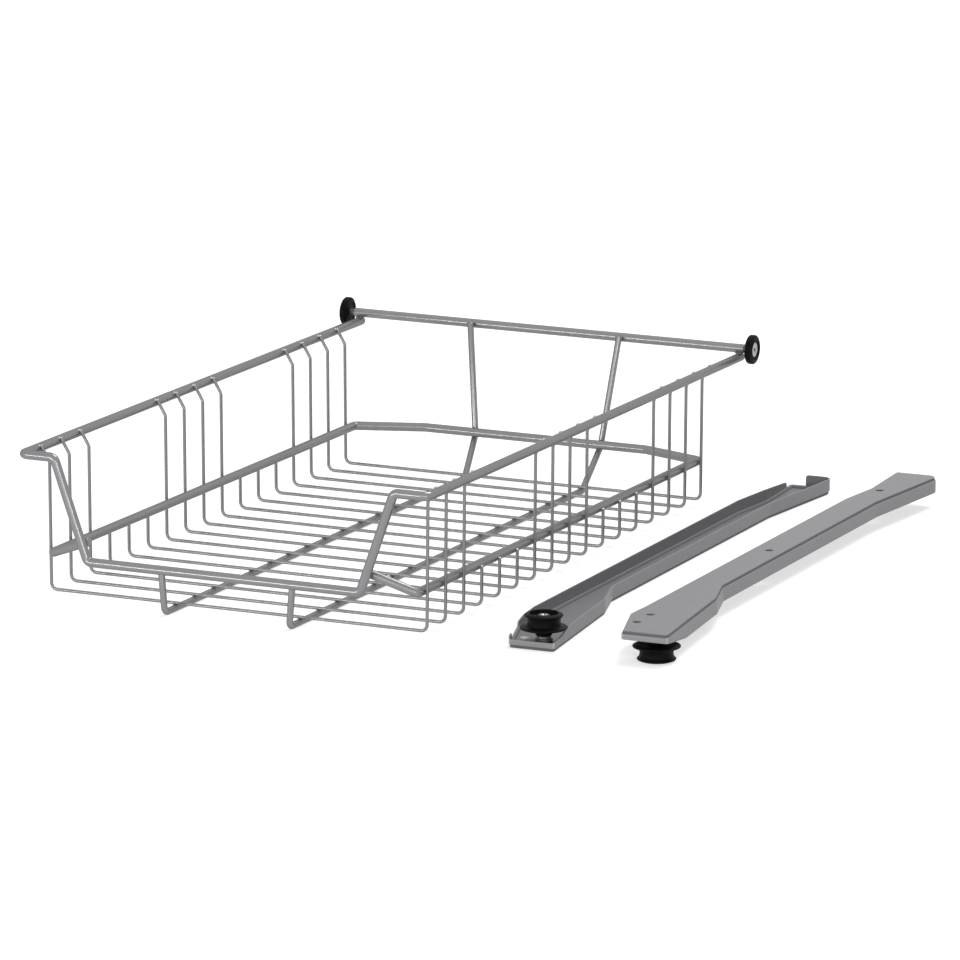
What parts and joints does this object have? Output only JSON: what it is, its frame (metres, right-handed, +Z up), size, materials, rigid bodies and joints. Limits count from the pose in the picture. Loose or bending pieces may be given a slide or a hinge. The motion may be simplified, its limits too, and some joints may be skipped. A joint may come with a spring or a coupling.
{
  "type": "pull out cabinet basket",
  "caption": "Wire basket for a base cabinet that rolls out on rear wheels and front rollers, with its two pressed steel side rails laid out beside it.",
  "frame": {"origin": "middle of the whole set's footprint, on the surface the set lies on", "axes": "+X to the right across the basket and on to the rails, +Y to the back of the basket (it pulls out towards -Y), +Z up"},
  "size_m": [0.5256, 0.6081, 0.1301],
  "materials": {
    "wire_finish": "silver grey coating with a soft gloss",
    "rail_finish": "smooth silver grey coating, satin",
    "bright_steel": "zinc bright, slightly dull",
    "black_plastic": "moulded, low sheen"
  },
  "bodies": {
    "rails": {"rail_left": "rail_finish", "rail_right": "rail_finish", "rivet_left": "bright_steel", "rivet_right": "bright_steel"},
    "basket": {"cross_wire_01": "wire_finish", "cross_wire_02": "wire_finish", "cross_wire_03": "wire_finish", "cross_wire_04": "wire_finish", "cross_wire_05": "wire_finish", "cross_wire_06": "wire_finish", "cross_wire_07": "wire_finish", "cross_wire_08": "wire_finish", "cross_wire_09": "wire_finish", "cross_wire_10": "wire_finish", "cross_wire_11": "wire_finish", "cross_wire_12": "wire_finish", "cross_wire_13": "wire_finish", "cross_wire_14": "wire_finish", "cross_wire_15": "wire_finish", "cross_wire_16": "wire_finish", "cross_wire_17": "wire_finish", "top_frame": "wire_finish", "middle_ring": "wire_finish", "runner_left": "wire_finish", "runner_right": "wire_finish", "rear_axle": "wire_finish", "hub_disc_left": "bright_steel", "hub_disc_right": "bright_steel"},
    "wheel_left": {"wheel_left": "black_plastic"},
    "wheel_right": {"wheel_right": "black_plastic"},
    "roller_left": {"roller_left": "black_plastic"},
    "roller_right": {"roller_right": "black_plastic"}
  },
  "joints": [
    {"name": "basket_slide", "type": "slide", "parent": "rails", "child": "basket", "axis": [0, -1, 0], "range_m": [0, 0.42]},
    {"name": "wheel_left_spin", "type": "hinge", "parent": "basket", "child": "wheel_left", "pos_m": [-0.25982, 0.25826, 0.11855], "axis": [1, 0, 0], "range_deg": [0, 2100]},
    {"name": "wheel_right_spin", "type": "hinge", "parent": "basket", "child": "wheel_right", "pos_m": [0.09238, 0.25826, 0.11855], "axis": [1, 0, 0], "range_deg": [0, 2100]},
    {"name": "roller_left_spin", "type": "hinge", "parent": "rails", "child": "roller_left", "pos_m": [0.15287, -0.2551, 0.0177], "axis": [0, 0, 1], "range_deg": [0, 2000]},
    {"name": "roller_right_spin", "type": "hinge", "parent": "rails", "child": "roller_right", "pos_m": [0.24517, -0.2623, 0.0062], "axis": [0, 0, 1], "range_deg": [0, 2000]}
  ],
  "couplings": [
    {"joint": "wheel_left_spin", "follows": "basket_slide", "rad_per_m": 86.957},
    {"joint": "wheel_right_spin", "follows": "basket_slide", "rad_per_m": 86.957},
    {"joint": "roller_left_spin", "follows": "basket_slide", "rad_per_m": 82.988},
    {"joint": "roller_right_spin", "follows": "basket_slide", "rad_per_m": 82.988}
  ]
}
